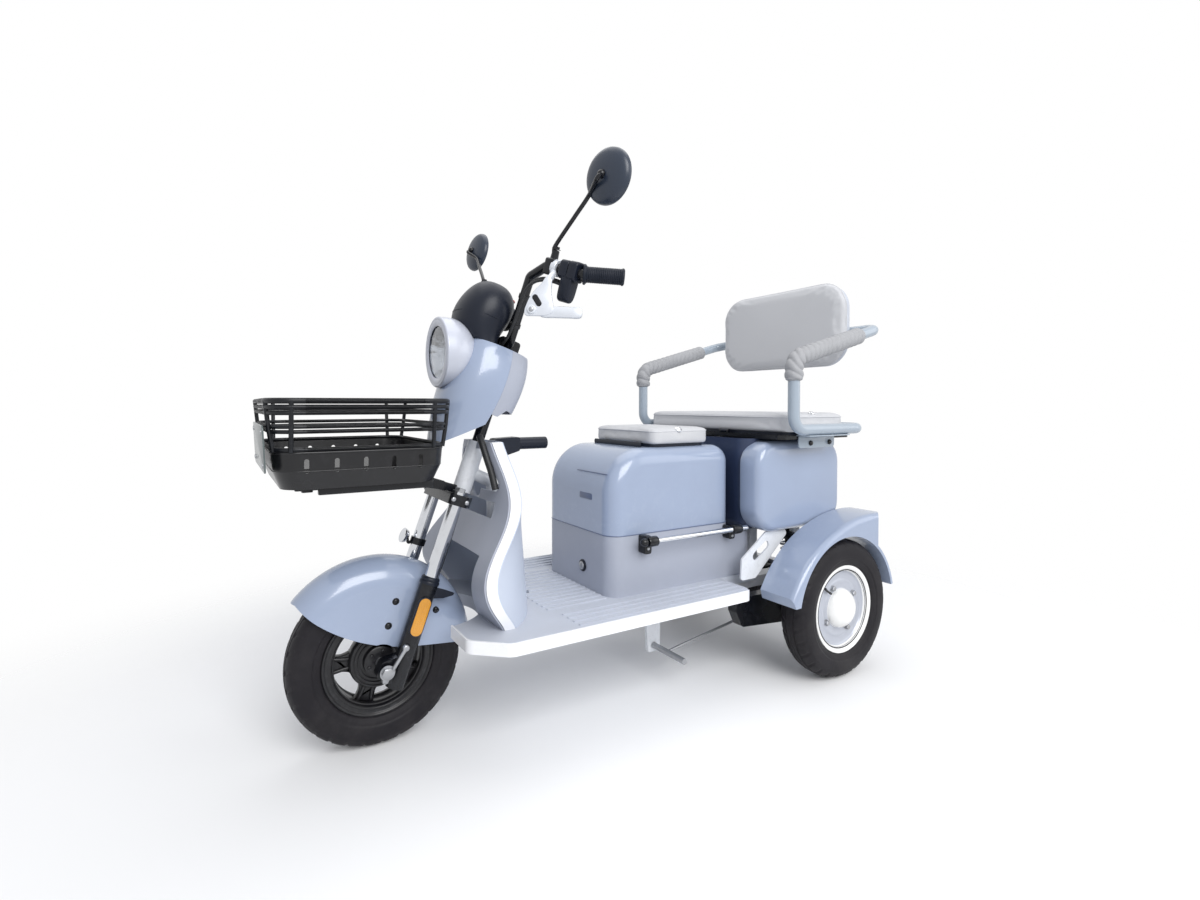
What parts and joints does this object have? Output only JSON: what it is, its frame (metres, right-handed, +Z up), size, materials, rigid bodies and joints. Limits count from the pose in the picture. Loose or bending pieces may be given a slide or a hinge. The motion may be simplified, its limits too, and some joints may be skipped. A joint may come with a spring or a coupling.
{
  "type": "electric cargo tricycle",
  "caption": "Electric cargo tricycle with a steered front wheel, wire basket, step-through floor, driver's seat, rear bench with armrests and backrest, and storage boxes.",
  "frame": {"origin": "on the ground, midway along the overall length, on the middle plane", "axes": "+Z up, the vehicle faces -Y, +X is its left side"},
  "size_m": [0.7985, 1.672, 1.2581],
  "materials": {
    "amber": "amber reflector",
    "battery": "battery case",
    "black_metal": "black paint",
    "black_plastic": "black",
    "blue_metal": "pale blue paint",
    "blue_plastic": "glossy pale blue",
    "chrome": "polished",
    "grey_plastic": "light grey",
    "lens": "clear lens",
    "red_lens": "red lens",
    "rubber": "moulded grips",
    "steel": "zinc plated",
    "tyre": "rubber tread",
    "vinyl": "grey seat cover",
    "white_metal": "white paint",
    "white_plastic": "white trim"
  },
  "bodies": {
    "chassis": {"armrest_frame": "blue_metal", "armrest_sleeves": "white_plastic", "backrest_pad": "vinyl", "backrest_shell": "white_plastic", "battery_box": "grey_plastic", "battery_cover": "blue_plastic", "battery_pack": "battery", "brake_rod": "steel", "fender_brackets": "white_metal", "floor_board": "grey_plastic", "floor_trim": "white_plastic", "foot_bars": "chrome", "frame": "white_metal", "frame_lug": "white_metal", "hand_lever": "black_plastic", "head_tube": "white_metal", "leg_shield": "grey_plastic", "rear_axle": "black_metal", "rear_box": "blue_plastic", "rear_fenders": "blue_plastic", "rear_shocks": "black_metal", "seat_deck": "black_plastic", "shield_back": "grey_plastic", "shield_trim": "white_plastic", "swing_arms": "black_metal", "tail_lamps": "red_lens"},
    "steering": {"steering_stem": "black_metal", "fork_tubes": "chrome", "fork_sliders": "black_metal", "front_axle": "steel", "front_fender": "blue_plastic", "front_cover": "blue_plastic", "column_cover": "grey_plastic", "headlight_bowl": "white_plastic", "headlight_lens": "lens", "handlebar": "black_metal", "grips": "rubber", "switch_housings": "black_plastic", "brake_levers": "steel", "mirrors": "black_metal", "dash_dome": "black_plastic", "basket_frame": "black_metal", "basket_tub": "black_plastic", "basket_bracket": "black_metal", "fork_reflectors": "amber"},
    "front_wheel": {"front_tyre": "tyre", "front_rim": "black_metal"},
    "left_rear_wheel": {"left_rear_tyre": "tyre", "left_rear_rim": "white_metal"},
    "right_rear_wheel": {"right_rear_tyre": "tyre", "right_rear_rim": "white_metal"},
    "front_seat": {"front_seat_pan": "black_plastic", "front_seat_pad": "vinyl"},
    "rear_seat": {"rear_seat_pan": "black_plastic", "rear_seat_pad": "vinyl"}
  },
  "joints": [
    {"name": "steering_turn", "type": "hinge", "parent": "chassis", "child": "steering", "pos_m": [0, -0.4141, 0.51886], "axis": [0, 0.342, 0.9397], "range_deg": [-35, 35]},
    {"name": "front_wheel_spin", "type": "hinge", "parent": "steering", "child": "front_wheel", "pos_m": [0, -0.606, 0.1875], "axis": [1, 0, 0], "continuous": true},
    {"name": "left_rear_wheel_spin", "type": "hinge", "parent": "chassis", "child": "left_rear_wheel", "pos_m": [0.308, 0.561, 0.1875], "axis": [1, 0, 0], "continuous": true},
    {"name": "right_rear_wheel_spin", "type": "hinge", "parent": "chassis", "child": "right_rear_wheel", "pos_m": [-0.308, 0.561, 0.1875], "axis": [1, 0, 0], "continuous": true},
    {"name": "front_seat_hinge", "type": "hinge", "parent": "chassis", "child": "front_seat", "pos_m": [0, 0.053, 0.6376], "axis": [1, 0, 0], "range_deg": [0, 75]},
    {"name": "rear_seat_hinge", "type": "hinge", "parent": "chassis", "child": "rear_seat", "pos_m": [0, 0.384, 0.6669], "axis": [1, 0, 0], "range_deg": [0, 60]}
  ]
}
